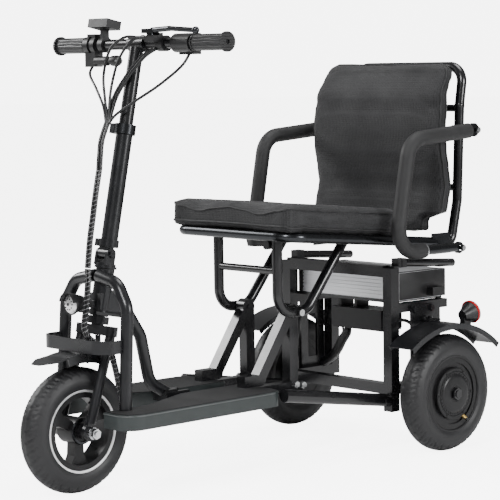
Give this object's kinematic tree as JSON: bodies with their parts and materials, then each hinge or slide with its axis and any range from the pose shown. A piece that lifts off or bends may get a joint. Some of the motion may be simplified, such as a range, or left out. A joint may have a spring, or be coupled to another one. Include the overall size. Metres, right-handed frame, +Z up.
{
  "type": "electric tricycle scooter",
  "caption": "Folding electric trike with footboards, height-adjustable stem and handlebar, padded seat with backrest and lift-up armrests, and a slide-out battery",
  "frame": {"origin": "centre of the bounding box at floor level", "axes": "-Y is the front, +X the rider's left, +Z up"},
  "size_m": [0.562, 1.1292, 0.9498],
  "materials": {
    "painted": "satin graphite paint",
    "deck": "satin moulded side band",
    "tread": "dark tyre rubber",
    "rim": "black cast rim with bright lips",
    "motor": "black hub motor casting",
    "bolts": "plated steel fasteners",
    "clampring": "black anodised clamp",
    "lever": "dark satin lever blade",
    "black": "matte black plastic",
    "foam": "closed-cell foam",
    "cord": "black sheath",
    "cloth": "black air-mesh fabric",
    "tube": "bright tube",
    "case": "ribbed extrusion",
    "red": "red button"
  },
  "bodies": {
    "frame": {"head_tube": "painted", "arch_left": "painted", "arch_right": "painted", "down_tube": "painted", "bumper": "painted", "spine": "painted", "footboards": "deck", "struts": "painted", "strut_bolts": "bolts", "rails": "painted", "posts": "painted", "cross_beams": "painted", "rear_arms": "painted", "axle_plates": "painted", "rear_fenders": "painted", "tail_lights": "black", "carriers": "painted", "battery_tray": "painted", "controller": "motor", "motor_leads": "cord", "cable_foot": "cord"},
    "steerer": {"fork": "painted", "front_fender": "painted", "front_axle": "bolts", "yoke": "painted"},
    "front_wheel": {"front_tyre": "tread", "front_rim": "rim"},
    "wheel_left": {"tyre_left": "tread", "hub_left": "motor"},
    "wheel_right": {"tyre_right": "tread", "hub_right": "motor"},
    "stem_base": {"stem_lower": "painted", "stem_clamp": "clampring", "cable_low": "cord"},
    "latch": {"latch_lever": "black"},
    "clamp": {"clamp_lever": "black"},
    "stem_top": {"stem_upper": "painted", "handlebar": "painted", "grips": "foam", "display": "black", "brake_perch": "black", "throttle_pod": "black", "switch_pod": "black", "cable_top": "cord"},
    "brake": {"brake_blade": "lever"},
    "throttle": {"throttle_paddle": "black"},
    "horn": {"horn_button": "red"},
    "key": {"key": "bolts"},
    "lamp": {"headlight": "black"},
    "seat": {"seat_loop": "tube", "seat_pan": "black", "u_tubes": "painted", "seat_cushion": "cloth"},
    "backrest": {"back_loop": "painted", "back_cushion": "cloth"},
    "armrest_left": {"arm_left": "tube", "foam_left": "foam"},
    "armrest_right": {"arm_right": "tube", "foam_right": "foam"},
    "battery": {"battery": "case"}
  },
  "joints": [
    {"name": "steer", "type": "hinge", "parent": "frame", "child": "steerer", "pos_m": [0, -0.359, 0.402], "axis": [0, 0.2045, 0.9789], "range_deg": [-32, 32]},
    {"name": "front_wheel_spin", "type": "hinge", "parent": "steerer", "child": "front_wheel", "pos_m": [0, -0.43595, 0.12754], "axis": [1, 0, 0], "continuous": true},
    {"name": "rear_wheel_left_spin", "type": "hinge", "parent": "frame", "child": "wheel_left", "pos_m": [0.239, 0.40305, 0.129], "axis": [1, 0, 0], "continuous": true},
    {"name": "rear_wheel_right_spin", "type": "hinge", "parent": "frame", "child": "wheel_right", "pos_m": [-0.239, 0.40305, 0.129], "axis": [1, 0, 0], "continuous": true},
    {"name": "stem_fold", "type": "hinge", "parent": "steerer", "child": "stem_base", "pos_m": [0, -0.34876, 0.47546], "axis": [1, 0, 0], "range_deg": [-50, 0]},
    {"name": "stem_height", "type": "slide", "parent": "stem_base", "child": "stem_top", "axis": [0, 0.2045, 0.9789], "range_m": [-0.12, 0.03], "deforming": ["cable_top"]},
    {"name": "latch_release", "type": "hinge", "parent": "stem_base", "child": "latch", "pos_m": [-0.024, -0.34718, 0.4928], "axis": [0, 0.2045, 0.9789], "range_deg": [0, 100]},
    {"name": "clamp_release", "type": "hinge", "parent": "stem_base", "child": "clamp", "pos_m": [-0.025, -0.3017, 0.72031], "axis": [0, 0.2045, 0.9789], "range_deg": [0, 100]},
    {"name": "brake_pull", "type": "hinge", "parent": "stem_top", "child": "brake", "pos_m": [0.066, -0.276, 0.915], "axis": [0, 0, 1], "range_deg": [0, 10], "stiffness_Nm_per_rad": 1.5},
    {"name": "throttle_push", "type": "hinge", "parent": "stem_top", "child": "throttle", "pos_m": [-0.149, -0.2485, 0.895], "axis": [-1, 0, 0], "range_deg": [0, 24], "stiffness_Nm_per_rad": 0.2},
    {"name": "horn_press", "type": "slide", "parent": "stem_top", "child": "horn", "axis": [0, -1, 0], "range_m": [0, 0.002], "stiffness_N_per_m": 150},
    {"name": "key_turn", "type": "hinge", "parent": "stem_top", "child": "key", "pos_m": [-0.098, -0.254, 0.862], "axis": [1, 0, 0], "range_deg": [0, 90]},
    {"name": "lamp_tilt", "type": "hinge", "parent": "frame", "child": "lamp", "pos_m": [0, -0.402, 0.378], "axis": [1, 0, 0], "range_deg": [-12, 12]},
    {"name": "seat_tilt", "type": "hinge", "parent": "frame", "child": "seat", "pos_m": [0, 0.094, 0.323], "axis": [1, 0, 0], "range_deg": [0, 60]},
    {"name": "backrest_fold", "type": "hinge", "parent": "seat", "child": "backrest", "pos_m": [0, 0.466, 0.443], "axis": [1, 0, 0], "range_deg": [0, 27]},
    {"name": "armrest_left_lift", "type": "hinge", "parent": "backrest", "child": "armrest_left", "pos_m": [0.226, 0.517, 0.701], "axis": [-1, 0, 0], "range_deg": [0, 90]},
    {"name": "armrest_right_lift", "type": "hinge", "parent": "backrest", "child": "armrest_right", "pos_m": [-0.226, 0.517, 0.701], "axis": [-1, 0, 0], "range_deg": [0, 90]},
    {"name": "battery_slide", "type": "slide", "parent": "frame", "child": "battery", "axis": [-1, 0, 0], "range_m": [0, 0.3]}
  ]
}
